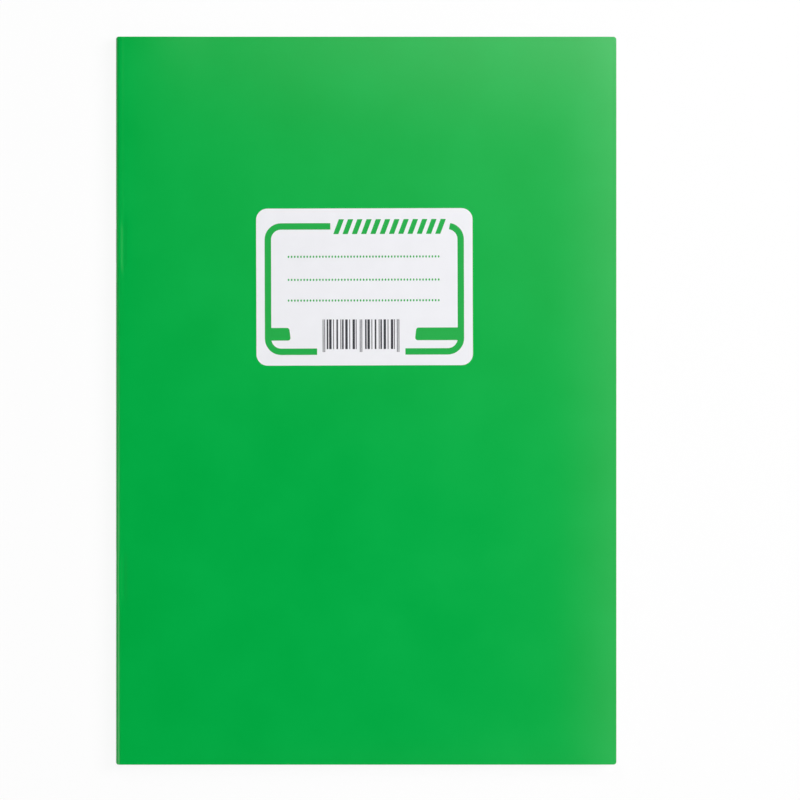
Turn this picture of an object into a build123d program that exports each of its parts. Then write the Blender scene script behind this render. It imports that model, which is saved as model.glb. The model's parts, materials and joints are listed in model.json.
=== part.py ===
from build123d import *

import os
from math import hypot, sqrt

# A stapled exercise book with a plastic cover, lying closed on its back.
# X runs from the spine to the fore-edge, Y from tail to head and Z upwards. The origin is the centre of
# the footprint, on the outer face of the back cover.
# The book is folded sheets nested in one another, stitched through the fold by two wire staples and
# wrapped in one folded cover. A folded sheet is a front leaf, a back leaf and the fold that joins them.
# Leaves turn about the centre line of the fold, so each fold is a strip between its two leaves.

# Book and cover
BOOK_WIDTH = 172.0
BOOK_HEIGHT = 250.0
CORNER_RADIUS = 1.0
COVER_THICKNESS = 0.35

# Paper
SHEET_COUNT = 30
PAPER_THICKNESS = 0.07
PAPER_GAP = 0.005
BACK_LEAVES_PER_NODE = 2

# Folds: each keeps a short straight run on both sides before its leaves start
CREASE_RUN = 0.8

# Staples: flat wire, whose crown is pressed into the cover
WIRE_WIDTH = 0.5
WIRE_THICKNESS = 0.3
WIRE_BEND_RADIUS = 0.3
WIRE_CLEARANCE = 0.02
CROWN_PRESS_DEPTH = 0.25
CROWN_LENGTH = 12.0
CLINCH_GAP = 2.4
STAPLE_SPACING = 114.0
STAPLE_SHIFT = -3.7

# Name label
LABEL_WIDTH = 74.7
LABEL_HEIGHT = 54.2
LABEL_THICKNESS = 0.08
LABEL_CORNER_RADIUS = 3.4
LABEL_CENTRE_FROM_SPINE = 85.4
LABEL_CENTRE_ABOVE_MIDDLE = 39.2
LABEL_TURN = 0.17

# Radii about the fold's centre line, from the clinched wire outwards
CLINCH_RADIUS = hypot(WIRE_WIDTH, WIRE_THICKNESS) / 2 + WIRE_CLEARANCE
SHEET_PITCH = PAPER_THICKNESS + PAPER_GAP
BLOCK_RADIUS = CLINCH_RADIUS + SHEET_COUNT * SHEET_PITCH
SPINE_RADIUS = BLOCK_RADIUS + COVER_THICKNESS
CROWN_STAND_OUT = WIRE_CLEARANCE + WIRE_THICKNESS - CROWN_PRESS_DEPTH
CROWN_RADIUS = SPINE_RADIUS + CROWN_STAND_OUT - WIRE_THICKNESS / 2

# Places
FORE_EDGE_X = (BOOK_WIDTH + CROWN_STAND_OUT) / 2
SPINE_X = FORE_EDGE_X - BOOK_WIDTH
FOLD_X = SPINE_X + SPINE_RADIUS
FOLD_Z = SPINE_RADIUS
LEAF_START_X = FOLD_X + CREASE_RUN
STAPLE_PLACES = {
    "upper_staple": STAPLE_SHIFT + STAPLE_SPACING / 2,
    "lower_staple": STAPLE_SHIFT - STAPLE_SPACING / 2,
}


def sheet_radius(sheet):
    """Inner radius of a sheet's fold: sheet 1 lies under the cover, the last one round the clinched wire."""
    return CLINCH_RADIUS + (SHEET_COUNT - sheet) * SHEET_PITCH


def flat_panel(bottom, thickness, trim):
    """A leaf or a cover panel: it starts square at the fold, and its two fore-edge corners are trimmed."""
    width = FORE_EDGE_X - LEAF_START_X
    outline = Pos(LEAF_START_X + width / 2, 0) * Rectangle(width, BOOK_HEIGHT)
    outline = trim(outline.vertices().group_by(Axis.X)[-1])
    return Pos(0, 0, bottom) * extrude(outline, thickness)


def round_trim(corners):
    """The cover's corners are rounded."""
    return fillet(corners, CORNER_RADIUS)


def flat_trim(corners):
    """A leaf's corners are cut flat, touching the cover's rounding, to spare faces on so many leaves."""
    return chamfer(corners, CORNER_RADIUS * (2 - sqrt(2)))


def front_panel(radius, thickness, trim):
    """A panel of the front half, whose inner face lies that far above the fold's centre line."""
    return flat_panel(FOLD_Z + radius, thickness, trim)


def back_panel(radius, thickness, trim):
    """A panel of the back half, whose inner face lies that far below the fold's centre line."""
    return flat_panel(FOLD_Z - radius - thickness, thickness, trim)


def wire_room(inner_radius, outer_radius):
    """Room for the staples in a fold: a slit at each leg, longer at its bends, and a groove for the crown."""
    slit_width = WIRE_WIDTH + 2 * WIRE_CLEARANCE
    slit_thickness = WIRE_THICKNESS + 2 * WIRE_CLEARANCE
    bend = WIRE_BEND_RADIUS + WIRE_CLEARANCE
    leg_length = CROWN_RADIUS + 2 * bend
    leg_x = FOLD_X - CROWN_RADIUS / 2
    crown_x = FOLD_X - CROWN_RADIUS
    holds_crown = outer_radius > CROWN_RADIUS - slit_thickness / 2
    holds_crown_bend = outer_radius > CROWN_RADIUS - bend
    holds_clinch_bend = inner_radius < hypot(bend, slit_width / 2)
    room = []
    for staple_y in STAPLE_PLACES.values():
        if holds_crown:
            room.append(Pos(crown_x, staple_y, FOLD_Z) * Box(slit_thickness, CROWN_LENGTH, slit_width))
        for side in (-1, 1):
            leg_y = staple_y + side * CROWN_LENGTH / 2
            bend_y = leg_y - side * bend / 2
            room.append(Pos(leg_x, leg_y, FOLD_Z) * Box(leg_length, slit_thickness, slit_width))
            if holds_clinch_bend:
                room.append(Pos(FOLD_X, bend_y, FOLD_Z) * Box(2 * bend, bend, slit_width))
            if holds_crown_bend:
                room.append(Pos(crown_x, bend_y, FOLD_Z) * Box(2 * bend, bend, slit_width))
    return room


def book_outline():
    """The closed book seen from above, as a block with its four corners rounded."""
    outline = RectangleRounded(BOOK_WIDTH, BOOK_HEIGHT, CORNER_RADIUS)
    return Pos(SPINE_X + BOOK_WIDTH / 2, 0, 0) * extrude(outline, 2 * FOLD_Z)


def fold_strip(inner_radius, thickness):
    """The bent strip that joins a front and a back panel: half a ring with a straight run at each end."""
    outer_radius = inner_radius + thickness
    ring = Circle(outer_radius) - Circle(inner_radius)
    section = split(ring, bisect_by=Plane.YZ, keep=Keep.BOTTOM)
    for side in (-1, 1):
        middle = side * (inner_radius + thickness / 2)
        section += Pos(CREASE_RUN / 2, middle) * Rectangle(CREASE_RUN, thickness)
    strip = Pos(FOLD_X, 0, FOLD_Z) * extrude(Plane.XZ * section, BOOK_HEIGHT / 2, both=True)
    strip -= wire_room(inner_radius, outer_radius)
    if outer_radius > SPINE_RADIUS - CORNER_RADIUS:
        strip &= book_outline()
    return strip


def staple(staple_y):
    """One staple of flat wire: a crown on the spine and two legs through the folds, clinched inside."""
    leg = CROWN_LENGTH / 2
    tip = CLINCH_GAP / 2
    path = FilletPolyline(
        (0, tip, 0),
        (0, leg, 0),
        (-CROWN_RADIUS, leg, 0),
        (-CROWN_RADIUS, -leg, 0),
        (0, -leg, 0),
        (0, -tip, 0),
        radius=WIRE_BEND_RADIUS,
    )
    start = Plane(origin=path @ 0, x_dir=(1, 0, 0), z_dir=path % 0)
    wire = sweep(start * Rectangle(WIRE_THICKNESS, WIRE_WIDTH), path)
    return Pos(FOLD_X, staple_y, FOLD_Z) * wire


def name_label():
    """The sticker on the front cover, stuck on a hair out of square."""
    outline = RectangleRounded(LABEL_WIDTH, LABEL_HEIGHT, LABEL_CORNER_RADIUS)
    place = Pos(SPINE_X + LABEL_CENTRE_FROM_SPINE, LABEL_CENTRE_ABOVE_MIDDLE, FOLD_Z + SPINE_RADIUS)
    return place * Rot(0, 0, LABEL_TURN) * extrude(outline, LABEL_THICKNESS)


def front_leaves():
    """Leaves of the front half, counted from the front cover to the middle of the book."""
    for sheet in range(1, SHEET_COUNT + 1):
        yield f"leaf_{sheet:02d}", front_panel(sheet_radius(sheet), PAPER_THICKNESS, flat_trim)


def back_leaves():
    """Leaves of the back half, counted on from the middle of the book, a few to a node."""
    for first in range(SHEET_COUNT + 1, 2 * SHEET_COUNT + 1, BACK_LEAVES_PER_NODE):
        last = min(first + BACK_LEAVES_PER_NODE, 2 * SHEET_COUNT + 1)
        leaves = range(first, last)
        radii = [sheet_radius(2 * SHEET_COUNT + 1 - leaf) for leaf in leaves]
        panels = [back_panel(radius, PAPER_THICKNESS, flat_trim) for radius in radii]
        yield "leaves_" + "_".join(f"{leaf:02d}" for leaf in leaves), Compound(children=panels)


def sheet_folds():
    """The folds of all the sheets, each its own strip."""
    sheets = range(1, SHEET_COUNT + 1)
    return Compound(children=[fold_strip(sheet_radius(sheet), PAPER_THICKNESS) for sheet in sheets])


def book():
    """Every piece of the book by its name."""
    pieces = {
        "front_cover": front_panel(BLOCK_RADIUS, COVER_THICKNESS, round_trim),
        "cover_spine": fold_strip(BLOCK_RADIUS, COVER_THICKNESS),
        "back_cover": back_panel(BLOCK_RADIUS, COVER_THICKNESS, round_trim),
        "name_label": name_label(),
        "sheet_folds": sheet_folds(),
    }
    for name, staple_y in STAPLE_PLACES.items():
        pieces[name] = staple(staple_y)
    pieces.update(front_leaves())
    pieces.update(back_leaves())
    return pieces


os.makedirs("parts", exist_ok=True)
for name, piece in book().items():
    export_step(piece, f"parts/{name}.step")
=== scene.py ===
import json
import math

import bmesh
import bpy
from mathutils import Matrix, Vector
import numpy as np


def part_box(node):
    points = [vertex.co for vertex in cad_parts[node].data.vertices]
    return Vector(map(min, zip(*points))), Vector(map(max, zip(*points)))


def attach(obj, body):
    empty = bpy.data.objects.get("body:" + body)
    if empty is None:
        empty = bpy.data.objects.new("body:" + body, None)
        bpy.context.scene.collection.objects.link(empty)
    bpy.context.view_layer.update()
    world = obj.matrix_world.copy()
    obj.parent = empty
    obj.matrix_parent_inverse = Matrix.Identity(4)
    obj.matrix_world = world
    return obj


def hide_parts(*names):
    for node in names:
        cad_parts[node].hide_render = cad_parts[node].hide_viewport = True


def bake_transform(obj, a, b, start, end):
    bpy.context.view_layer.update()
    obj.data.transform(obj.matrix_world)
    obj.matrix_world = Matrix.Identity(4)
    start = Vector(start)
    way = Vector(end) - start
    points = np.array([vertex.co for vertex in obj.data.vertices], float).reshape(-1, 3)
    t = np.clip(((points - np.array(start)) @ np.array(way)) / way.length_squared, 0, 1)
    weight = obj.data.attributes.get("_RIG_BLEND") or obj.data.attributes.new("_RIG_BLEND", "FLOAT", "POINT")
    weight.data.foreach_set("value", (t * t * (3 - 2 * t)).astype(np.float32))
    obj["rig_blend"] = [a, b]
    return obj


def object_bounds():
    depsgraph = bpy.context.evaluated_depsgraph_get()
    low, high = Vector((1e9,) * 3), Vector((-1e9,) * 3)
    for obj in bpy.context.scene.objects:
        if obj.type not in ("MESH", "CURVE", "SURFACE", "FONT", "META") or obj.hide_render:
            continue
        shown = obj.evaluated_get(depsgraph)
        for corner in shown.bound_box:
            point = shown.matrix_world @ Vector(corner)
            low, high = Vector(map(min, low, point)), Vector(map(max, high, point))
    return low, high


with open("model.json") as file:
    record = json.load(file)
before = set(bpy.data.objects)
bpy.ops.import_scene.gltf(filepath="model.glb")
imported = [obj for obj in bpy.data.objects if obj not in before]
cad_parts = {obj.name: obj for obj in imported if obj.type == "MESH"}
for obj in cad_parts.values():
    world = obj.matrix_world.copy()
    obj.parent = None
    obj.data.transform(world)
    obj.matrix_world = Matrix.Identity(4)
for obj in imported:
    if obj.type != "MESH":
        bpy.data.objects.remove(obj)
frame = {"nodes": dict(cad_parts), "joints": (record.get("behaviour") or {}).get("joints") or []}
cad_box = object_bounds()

# The looks of a stapled exercise book: glossy plastic cover, printed label, ruled leaves, wire staples.
# Lengths are metres, in the frame of the solids: X to the fore-edge, Y to the head, Z out of the cover.

MM = 0.001
SHARP_ANGLE = math.radians(40)

# Places taken from the solids
FRONT_LOW, FRONT_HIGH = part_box("front_cover")
LABEL_LOW, LABEL_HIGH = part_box("name_label")
JOINTS = {joint["name"]: joint for joint in frame["joints"]}
FOLD = Vector(JOINTS["leaf_01_turn"]["pos_m"])
SPINE_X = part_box("cover_spine")[0].x
FORE_EDGE_X = FRONT_HIGH.x
LEAF_START_X = FRONT_LOW.x
HALF_HEIGHT = FRONT_HIGH.y
COVER_THICKNESS = FRONT_HIGH.z - FRONT_LOW.z
COVER_OUTER = FRONT_HIGH.z - FOLD.z
COVER_INNER = COVER_OUTER - COVER_THICKNESS
FRONT_LEAVES = sorted(name for name in frame["nodes"] if name.startswith("leaf_"))
BACK_LEAVES = sorted(name for name in frame["nodes"] if name.startswith("leaves_"))
LEAF_COUNT = 2 * len(FRONT_LEAVES)
STAPLES = ("upper_staple", "lower_staple")
STAPLE_BOXES = [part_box(name) for name in STAPLES]

# Cover
CORNER_RADIUS = 1.0 * MM
CORNER_ZONE = 1.5 * CORNER_RADIUS
COVER_EDGE_ROUNDING = 0.05 * MM
RIM_SHARP_ANGLE = 1.0
RIM_SEGMENTS = 2
SEAM_TOLERANCE = 1e-7
SPINE_SQUARENESS = 3.4
SPINE_DIP_REACH = 9.0 * MM
SPINE_DIP = 0.10 * MM
CREASE_REACH = 1.6 * MM
DENT_DEPTH = 0.16 * MM
DENT_SPREAD = 1.1 * MM
DENT_END_SPREAD = 2.5 * MM
GROOVE_FROM_EDGE = 2.7 * MM
GROOVE_DEPTH = 0.19 * MM
GROOVE_SPREAD = 1.0 * MM
RIM_LOOP = 0.15 * MM

# Mesh lines of the cover and of the folds, by stretch
ARC_STEPS = 36
COVER_ROWS = 180
CREASE_STEPS = 8
DIP_STEPS = 16
PANEL_STEPS = 40
FORE_STEPS = 16
CORNER_STEPS = 8
BACK_PANEL_STEPS = 20
BACK_CREASE_STEPS = 4
FOLD_ROWS = 2

# Away from the fold the pages lie closer, so the front cover falls a little towards its free edges
FORE_FALL = 0.45 * MM
FORE_FALL_REACH = 22.0 * MM
HEAD_FALL = 0.40 * MM
HEAD_FALL_REACH = 38.0 * MM
TAIL_FALL = 0.15 * MM
TAIL_FALL_REACH = 12.0 * MM
FALL_START = 10.0 * MM
FALL_FULL = 35.0 * MM

# Label: places on it are measured from its own centre
LABEL_LEFT = -37.05 * MM
LABEL_RIGHT = 37.26 * MM
LABEL_BOTTOM = -27.1 * MM
LABEL_TOP = 26.81 * MM
LABEL_CORNER = 3.85 * MM
LABEL_TURN = math.radians(0.17)
LABEL_ARC_STEPS = 10
INK_THICKNESS = 0.008 * MM
BORDER_WIDTH = 2.2 * MM
BORDER_OUTER_RADIUS = 5.6 * MM
BORDER_LEFT = -34.14 * MM
BORDER_RIGHT = 34.25 * MM
BORDER_TOP = 21.77 * MM
BORDER_BOTTOM = -23.45 * MM
TITLE_LEFT = -11.57 * MM
TITLE_RIGHT = 29.1 * MM
CODE_GAP_LEFT = -16.22 * MM
CODE_GAP_RIGHT = 14.08 * MM
WRITING_LINES = (10.24 * MM, 2.32 * MM, -4.79 * MM)
WRITING_LEFT = -25.97 * MM
WRITING_RIGHT = 25.58 * MM
DOT_PITCH = 1.07 * MM
DOT_HALF_WIDTH = 0.29 * MM
DOT_HALF_HEIGHT = 0.40 * MM
DOT_CORNERS = 12
TAB_TOP = -14.15 * MM
TAB_BOTTOM = -18.5 * MM
LEFT_TAB_END = -25.5 * MM
RIGHT_TAB_END = 17.6 * MM
TAB_SLANT = 0.3 * MM
TAB_CORNER = 0.9 * MM
TAB_ARC_STEPS = 6
STRIPE_TOP = -11.3 * MM
STRIPE_BOTTOM = -21.5 * MM
STRIPE_LEFT = -14.3 * MM
STRIPE_RIGHT = 12.0 * MM
STRIPE_MODULE = 0.277 * MM
STRIPE_LONGER = 1.0 * MM
STRIPE_PAIR = 3 * STRIPE_MODULE
STRIPE_REST = 5 * STRIPE_MODULE
STRIPE_WIDTHS = 3
STRIPE_RULE = math.sqrt(2)
STRIPE_GAP_RULE = math.sqrt(5)
TITLE_BAR_TOP = 23.1 * MM
TITLE_BAR_BOTTOM = 18.0 * MM
TITLE_BAR_COUNT = 12
TITLE_BAR_SLANT = 1.9 * MM
TITLE_BAR_GAP = 1.4 * MM
TITLE_MARGIN = 1.0 * MM

# Leaves
PAPER_THICKNESS = 0.07 * MM
PAGE_CLOSE_REACH = 14.0 * MM
LEAF_TRIM = 0.1 * MM
LEAF_CLOSE_STEPS = 8
LEAF_PANEL_STEPS = 4
LEAF_FORE_STEPS = 6
LEAF_HEAD_ROWS = 6
LEAF_TAIL_ROWS = 3

# Staple wire: its thickness as a share of its width, and how square its section is
WIRE_FLATNESS = 0.6
WIRE_SQUARENESS = 0.5
WIRE_SIDES = 16
WIRE_BEND_STEPS = 6
CLINCH_TIP = 1.2 * MM

# Page ruling
RULE_PITCH = 8.0 * MM
RULE_WIDTH = 0.28 * MM
RULE_HEAD_MARGIN = 21.0 * MM
RULE_TAIL_MARGIN = 12.0 * MM
MARGIN_FROM_EDGE = 27.0 * MM

# Photograph: pixels across, and where the cover's outline lies in it
PHOTO_PIXELS = 800
COVER_LEFT_PX = 115.8
COVER_RIGHT_PX = 616.2
COVER_TOP_PX = 37.0
COVER_BOTTOM_PX = 764.3
LENS = 150.0
SENSOR = 36.0

# Lamps: direction in degrees from X, distance out, height, width and power
LAMPS = {
    "key_lamp": (20, 1.0, 0.9, 0.6, 13.2),
    "head_lamp": (110, 1.5, 1.25, 1.0, 10.0),
    "spine_lamp": (200, 1.5, 1.25, 1.0, 7.0),
    "tail_lamp": (290, 1.5, 1.25, 1.0, 8.5),
}
WORLD_LEVEL = 0.03

# Card overhead, and its glows: where each starts, where it is full and how strong it is there
CARD_LEFT = -0.35
CARD_RIGHT = 0.45
CARD_NEAR = -0.45
CARD_FAR = 0.5
CARD_HEIGHT = 1.3
RIGHT_GLOW = (0.10, 0.34, 1.5)
UPPER_GLOW = (-0.03, 0.10, 0.30)
HEAD_GLOW = (0.18, 0.38, 1.7)
TAIL_GLOW = (-0.27, -0.36, 0.16)
SIDEWAYS_GLOW = (-0.21, 0.30, 1.83)

# Floor
FLOOR_RADIUS = 5.2
FLOOR_RIM_RADIUS = 6.0
FLOOR_RIM_HEIGHT = 0.85
FLOOR_SIDES = 96
FLOOR_RINGS = 6
FLOOR_RIM_RINGS = 10
FLOOR_GREY = 0.9
FLOOR_GLOW_SHARE = 0.9


def linear(red, green, blue):
    """A colour given in screen values from 0 to 255, as the light values that shaders take."""
    def channel(value):
        share = value / 255
        return share / 12.92 if share <= 0.04045 else ((share + 0.055) / 1.055) ** 2.4
    return (channel(red), channel(green), channel(blue), 1.0)


def smooth_step(low, high, value):
    """From 0 at low to 1 at high, level at both ends."""
    share = min(1.0, max(0.0, (value - low) / (high - low)))
    return share * share * (3 - 2 * share)


def steps(low, high, count):
    """Evenly spaced values from low to high, both included."""
    return [low + (high - low) * index / count for index in range(count + 1)]


# Shader graphs


class Graph:
    """A material's node tree, with short calls for the nodes that the materials here share."""

    # Numbers of the colour sockets on a mix node
    FIRST_COLOUR = 6
    SECOND_COLOUR = 7
    MIXED_COLOUR = 2

    def __init__(self, name):
        self.material = bpy.data.materials.new(name)
        self.material.use_nodes = True
        self.tree = self.material.node_tree
        self.shader = self.tree.nodes["Principled BSDF"]
        self.place = self.node("ShaderNodeTexCoord").outputs["Object"]
        self.facing = self.node("ShaderNodeTexCoord").outputs["Normal"]

    def node(self, kind, settings=None, inputs=None):
        made = self.tree.nodes.new(kind)
        for key, value in (settings or {}).items():
            setattr(made, key, value)
        for key, value in (inputs or {}).items():
            self.feed(made.inputs[key], value)
        return made

    def feed(self, socket, value):
        if isinstance(value, bpy.types.NodeSocket):
            self.tree.links.new(value, socket)
        else:
            socket.default_value = value

    def math(self, operation, *values):
        made = self.node("ShaderNodeMath", {"operation": operation})
        for index, value in enumerate(values):
            self.feed(made.inputs[index], value)
        return made.outputs[0]

    def axis(self, vector, letter):
        return self.node("ShaderNodeSeparateXYZ", inputs={0: vector}).outputs[letter]

    def stretched(self, scale):
        mapping = self.node("ShaderNodeMapping", inputs={"Vector": self.place, "Scale": scale})
        return mapping.outputs["Vector"]

    def noise(self, scale, detail=2.0, vector=None, roughness=0.5):
        settings = {
            "Vector": vector or self.place,
            "Scale": scale,
            "Detail": detail,
            "Roughness": roughness,
        }
        return self.node("ShaderNodeTexNoise", inputs=settings).outputs["Fac"]

    def ramp(self, value, low, high, low_out=0.0, high_out=1.0, shape="LINEAR"):
        limits = {
            "Value": value,
            "From Min": low,
            "From Max": high,
            "To Min": low_out,
            "To Max": high_out,
        }
        return self.node("ShaderNodeMapRange", {"interpolation_type": shape}, limits).outputs["Result"]

    def mix(self, share, first, second):
        made = self.node("ShaderNodeMix", {"data_type": "RGBA"})
        self.feed(made.inputs["Factor"], share)
        self.feed(made.inputs[self.FIRST_COLOUR], first)
        self.feed(made.inputs[self.SECOND_COLOUR], second)
        return made.outputs[self.MIXED_COLOUR]

    def bump(self, height, distance, strength):
        settings = {"Height": height, "Distance": distance, "Strength": strength}
        made = self.node("ShaderNodeBump", inputs=settings)
        self.feed(self.shader.inputs["Normal"], made.outputs["Normal"])

    def set(self, **values):
        for key, value in values.items():
            self.feed(self.shader.inputs[key.replace("_", " ")], value)


def cover_material():
    """Smooth green polypropylene: a very fine moulded texture, faint mottling and hairline scuffs."""
    graph = Graph("cover_plastic")
    mottle = graph.noise(45.0, detail=3.0)
    grain = graph.noise(9000.0, detail=2.0)
    scuffs = graph.noise(1.0, detail=4.0, vector=graph.stretched((900.0, 60.0, 200.0)), roughness=0.6)
    base = graph.mix(graph.ramp(mottle, 0.3, 0.7), linear(0, 173, 67), linear(1, 177, 71))
    fresh_roughness = graph.ramp(mottle, 0.3, 0.7, 0.15, 0.18)
    scuff_roughness = graph.ramp(scuffs, 0.64, 0.8, 0.0, 0.04)
    graph.set(Base_Color=base, Roughness=graph.math("ADD", fresh_roughness, scuff_roughness), IOR=1.49)
    graph.bump(grain, 0.004 * MM, 0.25)
    return graph.material


def paper_material():
    """White writing paper with pale ruling and margin lines on both faces, and layered trimmed edges."""
    graph = Graph("page_paper")
    x = graph.axis(graph.place, "X")
    y = graph.axis(graph.place, "Y")
    end_edge = graph.math("GREATER_THAN", graph.math("ABSOLUTE", graph.axis(graph.facing, "Y")), 0.5)
    fore_edge = graph.math("GREATER_THAN", graph.axis(graph.facing, "X"), 0.5)
    fore_edge = graph.math("MULTIPLY", fore_edge, graph.math("GREATER_THAN", x, 0.0))
    on_face = graph.math("SUBTRACT", 1.0, graph.math("MAXIMUM", end_edge, fore_edge))
    fibres = graph.noise(1400.0, detail=4.0, roughness=0.65)
    clouds = graph.noise(90.0, detail=2.0)
    layers = graph.noise(1.0, detail=2.0, vector=graph.stretched((40.0, 40.0, 16000.0)))
    first_rule = HALF_HEIGHT - RULE_HEAD_MARGIN
    half_rule = RULE_WIDTH / 2
    row = graph.math("PINGPONG", graph.math("SUBTRACT", y, first_rule), RULE_PITCH / 2)
    ruled = graph.math("LESS_THAN", row, half_rule)
    ruled = graph.math("MULTIPLY", ruled, graph.math("LESS_THAN", y, first_rule + half_rule))
    ruled = graph.math("MULTIPLY", ruled, graph.math("GREATER_THAN", y, RULE_TAIL_MARGIN - HALF_HEIGHT))
    for margin_x in (FOLD.x + MARGIN_FROM_EDGE, FORE_EDGE_X - MARGIN_FROM_EDGE):
        offset = graph.math("ABSOLUTE", graph.math("SUBTRACT", x, margin_x))
        ruled = graph.math("MAXIMUM", ruled, graph.math("LESS_THAN", offset, half_rule))
    coverage = graph.ramp(fibres, 0.2, 0.6, 0.75, 1.0)
    inked = graph.math("MULTIPLY", graph.math("MULTIPLY", ruled, on_face), coverage)
    sheet = graph.mix(graph.ramp(clouds, 0.3, 0.7), linear(246, 248, 252), linear(249, 250, 253))
    sheet = graph.mix(graph.ramp(fibres, 0.55, 0.8, 0.0, 0.25), sheet, linear(238, 240, 244))
    edge = graph.mix(graph.ramp(layers, 0.35, 0.65), linear(221, 223, 228), linear(248, 249, 251))
    paper = graph.mix(on_face, edge, sheet)
    graph.set(Base_Color=graph.mix(inked, paper, linear(196, 201, 226)))
    graph.set(Roughness=graph.ramp(fibres, 0.3, 0.7, 0.78, 0.9), IOR=1.45)
    graph.bump(fibres, 0.01 * MM, 0.4)
    return graph.material


def label_material():
    """Coated white sticker paper."""
    graph = Graph("label_paper")
    fibres = graph.noise(2200.0, detail=3.0)
    clouds = graph.noise(160.0)
    base = graph.mix(graph.ramp(clouds, 0.3, 0.7), linear(238, 238, 242), linear(240, 240, 244))
    graph.set(Base_Color=base, Roughness=graph.ramp(fibres, 0.3, 0.7, 0.42, 0.55), IOR=1.45)
    graph.bump(fibres, 0.004 * MM, 0.3)
    return graph.material


def ink_material(name, solid, thin):
    """Printing ink: a solid tint with the fine unevenness of a printed film."""
    graph = Graph(name)
    speckle = graph.noise(5200.0, detail=2.0)
    base = graph.mix(graph.ramp(speckle, 0.35, 0.75), solid, thin)
    graph.set(Base_Color=base, Roughness=graph.ramp(speckle, 0.3, 0.7, 0.4, 0.52), IOR=1.45)
    return graph.material


def steel_material():
    """Bright drawn wire with faint lines along it."""
    graph = Graph("staple_steel")
    drawn = graph.noise(1.0, detail=3.0, vector=graph.stretched((22000.0, 900.0, 22000.0)))
    base = graph.mix(graph.ramp(drawn, 0.3, 0.7), linear(176, 178, 182), linear(206, 207, 210))
    graph.set(Base_Color=base, Metallic=1.0, Roughness=graph.ramp(drawn, 0.3, 0.7, 0.24, 0.4))
    graph.bump(drawn, 0.006 * MM, 0.3)
    return graph.material


# Mesh building


def make_piece(name, vertices, faces, material, smooth=True):
    """A mesh piece with its faces turned outwards."""
    mesh = bpy.data.meshes.new(name)
    mesh.from_pydata(vertices, [], faces)
    build = bmesh.new()
    build.from_mesh(mesh)
    bmesh.ops.recalc_face_normals(build, faces=build.faces)
    build.to_mesh(mesh)
    build.free()
    mesh.materials.append(material)
    mesh.polygons.foreach_set("use_smooth", [smooth] * len(mesh.polygons))
    mesh.set_sharp_from_angle(angle=SHARP_ANGLE)
    piece = bpy.data.objects.new(name, mesh)
    bpy.context.scene.collection.objects.link(piece)
    return piece


def half_height_at(x):
    """Half the height of the closed book at a place across it, less at the rounded corners."""
    from_edge = min(max(0.0, x - SPINE_X), max(0.0, FORE_EDGE_X - x))
    if from_edge >= CORNER_RADIUS:
        return HALF_HEIGHT
    return HALF_HEIGHT - CORNER_RADIUS + math.sqrt(CORNER_RADIUS ** 2 - (CORNER_RADIUS - from_edge) ** 2)


def sheet_mesh(outer, inner, shares, shape=None):
    """Vertices and faces of a thin sheet between two lines across the book, run along Y.

    outer and inner give (x, z) points side by side, shares the places along Y from -1 to 1. Where shape
    is given, it moves each point, told by True or False whether the point is on the outer line.
    """
    columns = len(shares)
    rows = len(outer)
    vertices = []
    for line in (outer, inner):
        for x, z in line:
            half = half_height_at(x)
            points = [(x, share * half, z) for share in shares]
            if shape:
                points = [shape(*point, line is outer) for point in points]
            vertices.extend(points)
    below = rows * columns
    faces = []
    for row in range(rows - 1):
        for column in range(columns - 1):
            corner = row * columns + column
            quad = (corner, corner + 1, corner + columns + 1, corner + columns)
            faces.append(quad)
            faces.append(tuple(index + below for index in reversed(quad)))
        for corner in (row * columns, (row + 1) * columns - 1):
            faces.append((corner, corner + columns, corner + columns + below, corner + below))
    for start in (0, (rows - 1) * columns):
        for corner in range(start, start + columns - 1):
            faces.append((corner, corner + 1, corner + 1 + below, corner + below))
    return vertices, faces


def round_rim(piece, offset, keep_sharp_x):
    """Rounds the sharp outer edges of a sheet.

    Those at keep_sharp_x stay as they are, because another piece carries on there.
    """
    build = bmesh.new()
    build.from_mesh(piece.data)
    sharp = []
    for edge in build.edges:
        at_seam = all(abs(vertex.co.x - keep_sharp_x) < SEAM_TOLERANCE for vertex in edge.verts)
        if len(edge.link_faces) == 2 and edge.calc_face_angle() > RIM_SHARP_ANGLE and not at_seam:
            sharp.append(edge)
    bmesh.ops.bevel(build, geom=sharp, offset=offset, segments=RIM_SEGMENTS, profile=0.5, affect="EDGES")
    build.to_mesh(piece.data)
    build.free()
    for polygon in piece.data.polygons:
        polygon.use_smooth = True


def fold_weights(piece):
    """Spreads the turn evenly round the fold, so that a bent strip opens without crossing itself."""
    weights = piece.data.attributes["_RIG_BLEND"]
    for vertex in piece.data.vertices:
        across = FOLD.x - vertex.co.x
        up = vertex.co.z - FOLD.z
        if across <= 0:
            share = 1.0 if up > 0 else 0.0
        else:
            share = math.atan2(across, -up) / math.pi
        weights.data[vertex.index].value = share


# Cover


def staple_pull(y):
    """How strongly the staples pull at a place along Y: 1 beside a crown, fading past its ends."""
    past_end = min(max(low.y - y, y - high.y, 0.0) for low, high in STAPLE_BOXES)
    return math.exp(-((past_end / DENT_END_SPREAD) ** 2))


def staple_dent(y, around):
    """How far the staples draw the spine in, by the place along Y and the distance from the crown."""
    return DENT_DEPTH * staple_pull(y) * math.exp(-((around / DENT_SPREAD) ** 2))


def staple_groove(x, y):
    """How far the front face sinks beside the spine where the staples pull."""
    across = (x - SPINE_X - GROOVE_FROM_EDGE) / GROOVE_SPREAD
    return GROOVE_DEPTH * staple_pull(y) * math.exp(-(across ** 2))


def parabola(reach, distance):
    """1 at an edge, and down to 0 at a distance of reach from it."""
    return max(0.0, 1 - distance / reach) ** 2


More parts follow.
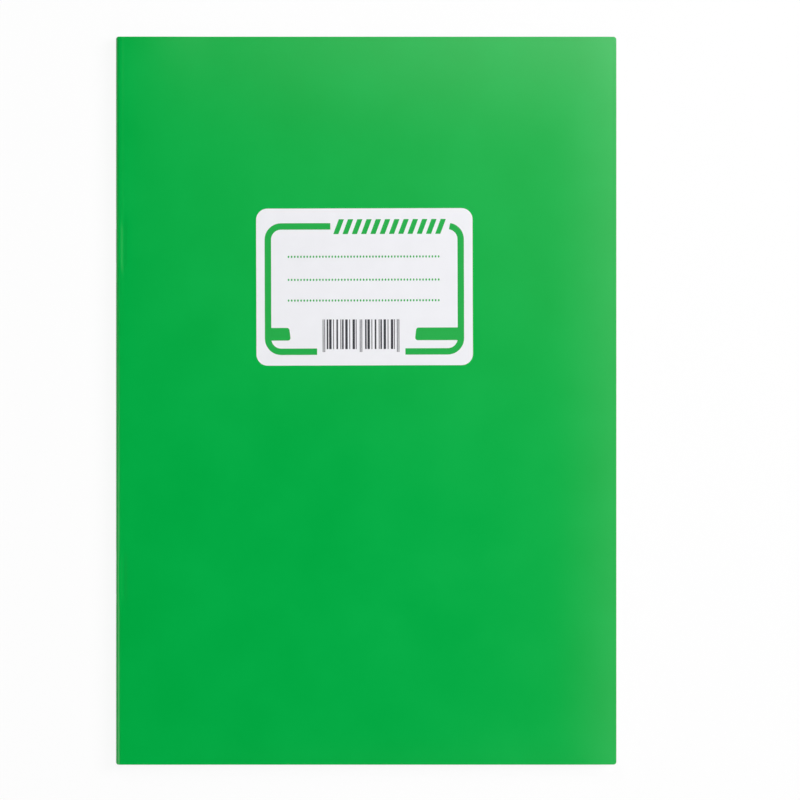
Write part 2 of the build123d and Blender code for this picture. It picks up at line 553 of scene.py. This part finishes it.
def cover_fall(x, y):
    """How far the front cover lies below the level that it has at the spine."""
    fore = FORE_FALL * parabola(FORE_FALL_REACH, FORE_EDGE_X - x)
    head = HEAD_FALL * parabola(HEAD_FALL_REACH, HALF_HEIGHT - y)
    tail = TAIL_FALL * parabola(TAIL_FALL_REACH, HALF_HEIGHT + y)
    return math.hypot(fore, head, tail) * smooth_step(FALL_START, FALL_FULL, x - SPINE_X)


def spine_dip(x):
    """How far the cover's outer face is worn down beside the spine."""
    return SPINE_DIP * parabola(SPINE_DIP_REACH, x - SPINE_X)


def end_shares(count):
    """Places along Y from -1 to 1, with a narrow step at both ends to keep the rim's shading to itself."""
    loop = 1 - RIM_LOOP / HALF_HEIGHT
    return [-1.0] + steps(-loop, loop, count) + [1.0]


def fore_edge_lines():
    """Places across the last stretch to the fore-edge, close together round the corners."""
    corner = [FORE_EDGE_X - RIM_LOOP]
    for share in steps(0.0, 1.0, CORNER_STEPS):
        corner.append(FORE_EDGE_X - CORNER_RADIUS * (1 - math.sin(math.pi / 2 * share)))
    return steps(FORE_EDGE_X - FORE_FALL_REACH, FORE_EDGE_X - CORNER_ZONE, FORE_STEPS) + sorted(corner)


def make_front_cover(material):
    """The front panel, from the top of the spine's round to the fore-edge, bending at the crease."""
    lines = steps(FOLD.x, FOLD.x + CREASE_REACH, CREASE_STEPS)
    lines += steps(lines[-1], SPINE_X + 2 * SPINE_DIP_REACH, DIP_STEPS)[1:]
    lines += steps(lines[-1], FORE_EDGE_X - FORE_FALL_REACH, PANEL_STEPS)[1:-1]
    lines += fore_edge_lines()
    top = FOLD.z + COVER_OUTER

    def shape(x, y, z, is_outer):
        dip = spine_dip(x) + staple_groove(x, y) if is_outer else 0.0
        return (x, y, z - dip - cover_fall(x, y))

    outer = [(x, top) for x in lines]
    inner = [(x, top - COVER_THICKNESS) for x in lines]
    vertices, faces = sheet_mesh(outer, inner, end_shares(COVER_ROWS), shape)
    piece = make_piece("cover_front", vertices, faces, material)
    round_rim(piece, COVER_EDGE_ROUNDING, keep_sharp_x=FOLD.x)
    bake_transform(piece, "leaf_01_body", "front_cover_body", start=(FOLD.x, 0, top),
             end=(FOLD.x + CREASE_REACH, 0, top))
    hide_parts("front_cover")


def make_back_cover(material):
    """The back panel and the spine's round in one, drawn in where the staples pull."""
    bottom = FOLD.z - COVER_OUTER
    lines = list(reversed(fore_edge_lines()))
    lines += steps(lines[-1], FOLD.x + CREASE_REACH, BACK_PANEL_STEPS)[1:]
    lines += steps(lines[-1], FOLD.x, BACK_CREASE_STEPS)[1:]
    outer = [(x, bottom) for x in lines]
    inner = [(x, bottom + COVER_THICKNESS) for x in lines]
    for angle in steps(0.0, math.pi, ARC_STEPS)[1:]:
        across = math.sin(angle)
        up = -math.cos(angle)
        reach = abs(across) ** SPINE_SQUARENESS + abs(up) ** SPINE_SQUARENESS
        reach = reach ** (-1 / SPINE_SQUARENESS)
        outer.append((FOLD.x - COVER_OUTER * reach * across, FOLD.z + COVER_OUTER * reach * up))
        inner.append((FOLD.x - COVER_INNER * reach * across, FOLD.z + COVER_INNER * reach * up))

    def shape(x, y, z, is_outer):
        offset = Vector((x - FOLD.x, 0, z - FOLD.z))
        if not is_outer or offset.x > 0:
            return (x, y, z)
        angle_up = math.atan2(offset.z, -offset.x)
        dent = staple_dent(y, COVER_OUTER * abs(angle_up))
        worn = spine_dip(FOLD.x) * smooth_step(math.pi / 4, math.pi / 2, angle_up)
        sunk = offset * (1 - (dent + worn) / offset.length)
        groove = staple_groove(x, y) if offset.z > 0 else 0.0
        return (FOLD.x + sunk.x, y, FOLD.z + sunk.z - groove)

    vertices, faces = sheet_mesh(outer, inner, end_shares(COVER_ROWS), shape)
    piece = make_piece("cover_back_and_spine", vertices, faces, material)
    round_rim(piece, COVER_EDGE_ROUNDING, keep_sharp_x=FOLD.x)
    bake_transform(piece, "back_half", "leaf_01_body", start=(FOLD.x, 0, bottom),
             end=(FOLD.x, 0, FOLD.z + COVER_OUTER))
    fold_weights(piece)
    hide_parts("back_cover", "cover_spine")


# Sheets


def leaf_numbers(node):
    """The numbers of the leaves in a node, counted from the front cover, as its name gives them."""
    return [int(number) for number in node.split("_")[1:]]


def leaf_mesh(number, low, high):
    """One leaf: its faces lie at low and high beside the fold, and near its neighbours further on."""
    lines = steps(LEAF_START_X, LEAF_START_X + PAGE_CLOSE_REACH, LEAF_CLOSE_STEPS)
    lines += steps(lines[-1], FORE_EDGE_X - FORE_FALL_REACH, LEAF_PANEL_STEPS)[1:]
    lines += steps(lines[-1], FORE_EDGE_X - LEAF_TRIM, LEAF_FORE_STEPS)[1:]
    floor_z = FOLD.z - COVER_INNER
    ceiling_z = FOLD.z + COVER_INNER
    middle = (low + high) / 2
    share = (LEAF_COUNT - number + 0.5) / LEAF_COUNT

    def shape(x, y, z, is_outer):
        even = floor_z + share * (ceiling_z - cover_fall(x, y) - floor_z)
        closed = smooth_step(LEAF_START_X, LEAF_START_X + PAGE_CLOSE_REACH, x)
        return (x, y, z + (even - middle) * closed)

    shares = steps(-1.0, TAIL_FALL_REACH / HALF_HEIGHT - 1, LEAF_TAIL_ROWS)
    shares += steps(1 - HEAD_FALL_REACH / HALF_HEIGHT, 1.0, LEAF_HEAD_ROWS)
    return sheet_mesh([(x, high) for x in lines], [(x, low) for x in lines], shares, shape)


def make_leaves(node, material):
    """The leaves of one node, each with the heights that its own solid has."""
    low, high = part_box(node)
    numbers = leaf_numbers(node)
    pitch = (high.z - low.z - PAPER_THICKNESS) / max(1, len(numbers) - 1)
    vertices = []
    faces = []
    for place, number in enumerate(numbers):
        leaf_high = high.z - place * pitch
        leaf_vertices, leaf_faces = leaf_mesh(number, leaf_high - PAPER_THICKNESS, leaf_high)
        faces.extend(tuple(index + len(vertices) for index in face) for face in leaf_faces)
        vertices.extend(leaf_vertices)
    piece = make_piece(f"page_{node}", vertices, faces, material)
    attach(piece, "back_half" if node in BACK_LEAVES else node + "_body")
    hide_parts(node)


def make_fold(leaf_node, material):
    """The bent strip that joins a front leaf to its back leaf."""
    low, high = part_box(leaf_node)
    inner_radius = low.z - FOLD.z
    outer_radius = high.z - FOLD.z

    def bent_line(radius):
        line = [(LEAF_START_X, FOLD.z - radius)]
        for angle in steps(0.0, math.pi, ARC_STEPS):
            line.append((FOLD.x - radius * math.sin(angle), FOLD.z - radius * math.cos(angle)))
        line.append((LEAF_START_X, FOLD.z + radius))
        return line

    rows = steps(-1.0, 1.0, FOLD_ROWS)
    vertices, faces = sheet_mesh(bent_line(outer_radius), bent_line(inner_radius), rows)
    piece = make_piece(leaf_node.replace("leaf", "fold"), vertices, faces, material)
    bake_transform(piece, "back_half", leaf_node + "_body", start=(FOLD.x, 0, FOLD.z - outer_radius),
             end=(FOLD.x, 0, FOLD.z + outer_radius))
    fold_weights(piece)
    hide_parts("sheet_folds")


# Staples


def wire_path(clinch_x, crown_x, leg, bend):
    """Points along a staple seen from above: from one clinched tip round both legs and the crown."""
    corners = [
        (clinch_x, CLINCH_TIP),
        (clinch_x, leg),
        (crown_x, leg),
        (crown_x, -leg),
        (clinch_x, -leg),
        (clinch_x, -CLINCH_TIP),
    ]
    path = [Vector(corners[0])]
    for before, corner, after in zip(corners, corners[1:], corners[2:]):
        corner = Vector(corner)
        arrive = (corner - Vector(before)).normalized()
        leave = (Vector(after) - corner).normalized()
        for turn in steps(0.0, math.pi / 2, WIRE_BEND_STEPS):
            before_bend = arrive * bend * (1 - math.sin(turn))
            after_bend = leave * bend * (1 - math.cos(turn))
            path.append(corner - before_bend + after_bend)
    path.append(Vector(corners[-1]))
    return path


def wire_section(width, thickness):
    """The flat wire's section, with rounded edges, as places across and up."""
    section = []
    for turn in steps(0.0, 2 * math.pi, WIRE_SIDES)[:-1]:
        across = math.copysign(abs(math.cos(turn)) ** WIRE_SQUARENESS, math.cos(turn)) * thickness / 2
        up = math.copysign(abs(math.sin(turn)) ** WIRE_SQUARENESS, math.sin(turn)) * width / 2
        section.append((across, up))
    return section


def make_staple(name, material):
    """Flat wire along the staple's path: clinched tips, legs and crown."""
    low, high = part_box(name)
    width = high.z - low.z
    thickness = WIRE_FLATNESS * width
    middle = (low.y + high.y) / 2
    leg = (high.y - low.y - thickness) / 2
    path = wire_path(high.x - thickness / 2, low.x + thickness / 2, leg, bend=thickness)
    section = wire_section(width, thickness)
    vertices = []
    for index, point in enumerate(path):
        ahead = path[min(index + 1, len(path) - 1)] - path[max(index - 1, 0)]
        side = Vector((ahead.y, -ahead.x)).normalized()
        for across, up in section:
            place = point + side * across
            vertices.append((place.x, middle + place.y, FOLD.z + up))
    around = len(section)
    faces = [tuple(range(around)), tuple(reversed(range(len(vertices) - around, len(vertices))))]
    for ring in range(len(path) - 1):
        for spot in range(around):
            here = ring * around + spot
            there = ring * around + (spot + 1) % around
            faces.append((here, there, there + around, here + around))
    piece = make_piece(name + "_wire", vertices, faces, material)
    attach(piece, "spine_body")
    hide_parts(name)


# Label


def label_outline(left, right, bottom, top, radius):
    """A rounded rectangle, anticlockwise from its lower right corner."""
    centres = ((right - radius, bottom + radius, -90), (right - radius, top - radius, 0),
               (left + radius, top - radius, 90), (left + radius, bottom + radius, 180))
    points = []
    for x, y, start in centres:
        for turn in steps(start, start + 90, LABEL_ARC_STEPS):
            angle = math.radians(turn)
            points.append((x + radius * math.cos(angle), y + radius * math.sin(angle)))
    return points


def label_place(x, y, z):
    """A place on the label, from its own centre and directions to the book's frame."""
    centre = (LABEL_LOW + LABEL_HIGH) / 2
    turn_cos = math.cos(LABEL_TURN)
    turn_sin = math.sin(LABEL_TURN)
    return (centre.x + x * turn_cos - y * turn_sin, centre.y + x * turn_sin + y * turn_cos, z)


def film(outlines, low, high):
    """Vertices and faces of flat films with the given outlines, between two heights on the label."""
    vertices = []
    faces = []
    for outline in outlines:
        start = len(vertices)
        count = len(outline)
        for z in (low, high):
            vertices.extend(label_place(x, y, z) for x, y in outline)
        faces.append(tuple(range(start + count, start + 2 * count)))
        faces.append(tuple(reversed(range(start, start + count))))
        for index in range(count):
            after = (index + 1) % count
            faces.append((start + index, start + after, start + count + after, start + count + index))
    return vertices, faces


def make_print(name, outlines, material):
    """A printed area: a film of ink on the label's face."""
    top = LABEL_HIGH.z
    vertices, faces = film(outlines, top - INK_THICKNESS, top)
    piece = make_piece(name, vertices, faces, material, smooth=False)
    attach(piece, "front_cover_body")


def band(line, width):
    """The outline of a strip of the given width that follows an open line of points."""
    left = []
    right = []
    for index, point in enumerate(line):
        ahead = Vector(line[min(index + 1, len(line) - 1)]) - Vector(line[max(index - 1, 0)])
        side = Vector((-ahead.y, ahead.x)).normalized() * width / 2
        left.append(tuple(Vector(point) + side))
        right.append(tuple(Vector(point) - side))
    return right + left[::-1]


def border_bands():
    """The frame round the label in two halves, open at the title and at the stripe block."""
    half = BORDER_WIDTH / 2
    left = BORDER_LEFT + half
    right = BORDER_RIGHT - half
    bottom = BORDER_BOTTOM + half
    top = BORDER_TOP - half
    loop = label_outline(left, right, bottom, top, BORDER_OUTER_RADIUS - half)
    quarter = len(loop) // 4
    corners = [loop[start:start + quarter] for start in range(0, len(loop), quarter)]
    lower_right, upper_right, upper_left, lower_left = corners
    right_half = [(CODE_GAP_RIGHT, bottom)] + lower_right
    right_half += [point for point in upper_right if point[0] > TITLE_RIGHT]
    left_half = [(TITLE_LEFT, top)] + upper_left + lower_left + [(CODE_GAP_LEFT, bottom)]
    return [band(right_half, BORDER_WIDTH), band(left_half, BORDER_WIDTH)]


def tab_outlines():
    """Plain tabs that stand in from the border near its lower corners, slanted at their free ends."""
    outlines = []
    left_tab = (BORDER_LEFT + BORDER_WIDTH, LEFT_TAB_END)
    right_tab = (BORDER_RIGHT - BORDER_WIDTH, RIGHT_TAB_END)
    for root, end in (left_tab, right_tab):
        inward = 1 if end > root else -1
        points = []
        for y, slant, starts in ((TAB_BOTTOM, -1, -90), (TAB_TOP, 1, 0)):
            middle = Vector((end - inward * (TAB_CORNER + slant * TAB_SLANT / 2), y - slant * TAB_CORNER))
            for turn in steps(starts, starts + 90, TAB_ARC_STEPS):
                angle = math.radians(turn)
                points.append((middle.x + inward * TAB_CORNER * math.cos(angle),
                               middle.y + TAB_CORNER * math.sin(angle)))
        points += [(root, TAB_TOP), (root, TAB_BOTTOM)]
        outlines.append(points)
    return outlines


def dot_outlines():
    """Rows of printed dots to write on."""
    outlines = []
    count = round((WRITING_RIGHT - WRITING_LEFT) / DOT_PITCH)
    for y in WRITING_LINES:
        for x in steps(WRITING_LEFT, WRITING_RIGHT, count):
            dot = []
            for angle in steps(0.0, 2 * math.pi, DOT_CORNERS)[:-1]:
                dot.append((x + DOT_HALF_WIDTH * math.cos(angle), y + DOT_HALF_HEIGHT * math.sin(angle)))
            outlines.append(dot)
    return outlines


def stripe(left, width, bottom):
    """The outline of one upright stripe."""
    right = left + width
    return [(left, bottom), (right, bottom), (right, STRIPE_TOP), (left, STRIPE_TOP)]


def stripe_width(index, rule):
    """A width of one to three modules, taken in turn from the multiples of a root."""
    return STRIPE_MODULE * (1 + math.floor(STRIPE_WIDTHS * (index * rule % 1)))


def stripe_outlines():
    """A block of upright stripes of uneven width that follow a simple rule and stand for nothing."""
    outlines = []
    middle = (STRIPE_LEFT + STRIPE_RIGHT) / 2
    long_bottom = STRIPE_BOTTOM - STRIPE_LONGER
    for pair_x in (STRIPE_LEFT, middle - STRIPE_PAIR / 2, STRIPE_RIGHT - STRIPE_PAIR):
        for left in (pair_x, pair_x + 2 * STRIPE_MODULE):
            outlines.append(stripe(left, STRIPE_MODULE, long_bottom))
    for start, end in ((STRIPE_LEFT, middle), (middle, STRIPE_RIGHT)):
        x = start + STRIPE_REST
        index = 1
        while x < end - STRIPE_REST:
            width = stripe_width(index, STRIPE_RULE)
            outlines.append(stripe(x, width, STRIPE_BOTTOM))
            x += width + stripe_width(index, STRIPE_GAP_RULE)
            index += 1
    return outlines


def title_bars():
    """Slanted bars across the place of the title."""
    left = TITLE_LEFT + TITLE_MARGIN
    right = TITLE_RIGHT - TITLE_MARGIN - TITLE_BAR_SLANT
    pitch = (right - left + TITLE_BAR_GAP) / TITLE_BAR_COUNT
    outlines = []
    for index in range(TITLE_BAR_COUNT):
        x = left + index * pitch
        end = x + pitch - TITLE_BAR_GAP
        outlines.append([(x, TITLE_BAR_BOTTOM), (end, TITLE_BAR_BOTTOM),
                         (end + TITLE_BAR_SLANT, TITLE_BAR_TOP), (x + TITLE_BAR_SLANT, TITLE_BAR_TOP)])
    return outlines


def make_label():
    """The sticker and its print."""
    outline = label_outline(LABEL_LEFT, LABEL_RIGHT, LABEL_BOTTOM, LABEL_TOP, LABEL_CORNER)
    base_top = LABEL_HIGH.z - INK_THICKNESS
    vertices, faces = film([outline], FRONT_HIGH.z, base_top)
    base = make_piece("label_base", vertices, faces, label_material(), smooth=False)
    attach(base, "front_cover_body")
    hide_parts("name_label")
    green = ink_material("ink_green", linear(2, 168, 62), linear(14, 173, 71))
    dark = ink_material("ink_dark", linear(40, 40, 46), linear(70, 70, 78))
    make_print("label_border", border_bands(), green)
    make_print("label_tabs", tab_outlines(), green)
    make_print("label_title_bars", title_bars(), green)
    make_print("label_dots", dot_outlines(), green)
    make_print("label_stripes", stripe_outlines(), dark)


# Stage, lights and camera


def make_stage():
    """A wide white floor that rises to a rim far away."""
    rings = [(FLOOR_RADIUS * share, 0.0) for share in steps(0.0, 1.0, FLOOR_RINGS)[1:]]
    for angle in steps(0.0, math.pi / 2, FLOOR_RIM_RINGS)[1:]:
        radius = FLOOR_RADIUS + (FLOOR_RIM_RADIUS - FLOOR_RADIUS) * math.sin(angle)
        rings.append((radius, FLOOR_RIM_HEIGHT * (1 - math.cos(angle))))
    vertices = [(0.0, 0.0, 0.0)]
    for radius, z in rings:
        for index in range(FLOOR_SIDES):
            angle = 2 * math.pi * index / FLOOR_SIDES
            vertices.append((radius * math.cos(angle), radius * math.sin(angle), z))
    faces = [(0, 1 + index, 1 + (index + 1) % FLOOR_SIDES) for index in range(FLOOR_SIDES)]
    for ring in range(len(rings) - 1):
        for index in range(FLOOR_SIDES):
            here = 1 + ring * FLOOR_SIDES + index
            there = 1 + ring * FLOOR_SIDES + (index + 1) % FLOOR_SIDES
            faces.append((here, here + FLOOR_SIDES, there + FLOOR_SIDES, there))
    mesh = bpy.data.meshes.new("floor")
    mesh.from_pydata(vertices, [], faces)
    mesh.polygons.foreach_set("use_smooth", [True] * len(mesh.polygons))
    mesh.materials.append(floor_material())
    floor = bpy.data.objects.new("floor", mesh)
    bpy.context.scene.collection.objects.link(floor)
    floor.location.z = cad_box[0].z


def floor_material():
    """White to the camera and in reflections, with part of the diffuse floor kept for the shadow."""
    graph = Graph("floor_white")
    graph.set(Base_Color=(FLOOR_GREY, FLOOR_GREY, FLOOR_GREY, 1.0), Roughness=0.9)
    rays = graph.node("ShaderNodeLightPath").outputs
    seen = graph.math("MAXIMUM", rays["Is Camera Ray"], rays["Is Glossy Ray"])
    seen = graph.math("MAXIMUM", seen, rays["Is Transmission Ray"])
    glow = graph.node("ShaderNodeEmission", inputs={"Color": (1, 1, 1, 1), "Strength": 1.0})
    blend = graph.node("ShaderNodeMixShader")
    graph.feed(blend.inputs[0], graph.math("MULTIPLY", seen, FLOOR_GLOW_SHARE))
    graph.feed(blend.inputs[1], graph.shader.outputs["BSDF"])
    graph.feed(blend.inputs[2], glow.outputs["Emission"])
    graph.feed(graph.tree.nodes["Material Output"].inputs["Surface"], blend.outputs["Shader"])
    return graph.material


def add_lamp(name, place, size, power):
    """A soft square lamp that points at the middle of the book."""
    data = bpy.data.lights.new(name, "AREA")
    data.shape = "SQUARE"
    data.size = size
    data.energy = power
    lamp = bpy.data.objects.new(name, data)
    lamp.location = place
    lamp.rotation_euler = (-Vector(place)).to_track_quat("-Z", "Y").to_euler()
    lamp.visible_camera = False
    bpy.context.scene.collection.objects.link(lamp)


def gloss_card_material():
    """Dim glow that grows to the right, to the head and a little to the tail, with soft edges."""
    graph = Graph("gloss_card")
    x = graph.axis(graph.place, "X")
    y = graph.axis(graph.place, "Y")
    start, full, strength = RIGHT_GLOW
    right = graph.math("POWER", graph.ramp(x, start, full), 2.0)
    right = graph.math("MULTIPLY", right, strength)
    ends = 0.0
    for start, full, strength in (UPPER_GLOW, HEAD_GLOW, TAIL_GLOW):
        ends = graph.math("ADD", ends, graph.ramp(y, start, full, 0.0, strength, "SMOOTHSTEP"))
    start, full, strength = SIDEWAYS_GLOW
    ends = graph.math("MULTIPLY", ends, graph.ramp(x, start, full, 0.0, strength))
    glow = graph.node("ShaderNodeEmission", inputs={"Strength": graph.math("ADD", right, ends)})
    graph.feed(graph.tree.nodes["Material Output"].inputs["Surface"], glow.outputs["Emission"])
    return graph.material


def make_gloss_card():
    """A large dim card overhead: its soft edge is what the glossy cover mirrors."""
    corners = [
        (CARD_LEFT, CARD_NEAR, 0),
        (CARD_LEFT, CARD_FAR, 0),
        (CARD_RIGHT, CARD_FAR, 0),
        (CARD_RIGHT, CARD_NEAR, 0),
    ]
    mesh = bpy.data.meshes.new("gloss_card")
    mesh.from_pydata(corners, [], [(0, 1, 2, 3)])
    mesh.materials.append(gloss_card_material())
    card = bpy.data.objects.new("gloss_card", mesh)
    card.location.z = CARD_HEIGHT
    card.visible_camera = False
    card.visible_shadow = False
    bpy.context.scene.collection.objects.link(card)


def make_lights():
    """Soft lamps all round, away from what the cover mirrors to the camera, with the key on the right."""
    for name, (direction, reach, height, size, power) in LAMPS.items():
        angle = math.radians(direction)
        add_lamp(name, (reach * math.cos(angle), reach * math.sin(angle), height), size, power)
    world = bpy.data.worlds.new("studio")
    world.use_nodes = True
    colour = world.node_tree.nodes["Background"].inputs["Color"]
    colour.default_value = (WORLD_LEVEL, WORLD_LEVEL, WORLD_LEVEL, 1.0)
    bpy.context.scene.world = world


def make_camera():
    """Straight above the book, as in the photograph, with the cover's outline at the same place in it.

    The spine's outline lies lower than the other edges, so the scale is set half way between the two.
    """
    metres_per_pixel = 2 * HALF_HEIGHT / (COVER_BOTTOM_PX - COVER_TOP_PX)
    outline_px = ((COVER_LEFT_PX + COVER_RIGHT_PX) / 2, (COVER_TOP_PX + COVER_BOTTOM_PX) / 2)
    middle_px = PHOTO_PIXELS / 2
    data = bpy.data.cameras.new("camera")
    data.lens = LENS
    data.sensor_width = SENSOR
    camera = bpy.data.objects.new("camera", data)
    camera.location.x = (SPINE_X + FORE_EDGE_X) / 2 + (middle_px - outline_px[0]) * metres_per_pixel
    camera.location.y = (outline_px[1] - middle_px) * metres_per_pixel
    camera.location.z = (FOLD.z + FRONT_HIGH.z) / 2 + PHOTO_PIXELS * metres_per_pixel * LENS / SENSOR
    bpy.context.scene.collection.objects.link(camera)
    bpy.context.scene.camera = camera


cover_plastic = cover_material()
page_paper = paper_material()
staple_steel = steel_material()
make_front_cover(cover_plastic)
make_back_cover(cover_plastic)
for leaves in FRONT_LEAVES + BACK_LEAVES:
    make_leaves(leaves, page_paper)
for leaf in FRONT_LEAVES:
    make_fold(leaf, page_paper)
for staple in STAPLES:
    make_staple(staple, staple_steel)
make_label()
make_stage()
make_gloss_card()
make_lights()
make_camera()
bpy.context.scene.view_settings.view_transform = "Standard"

bpy.context.view_layer.update()
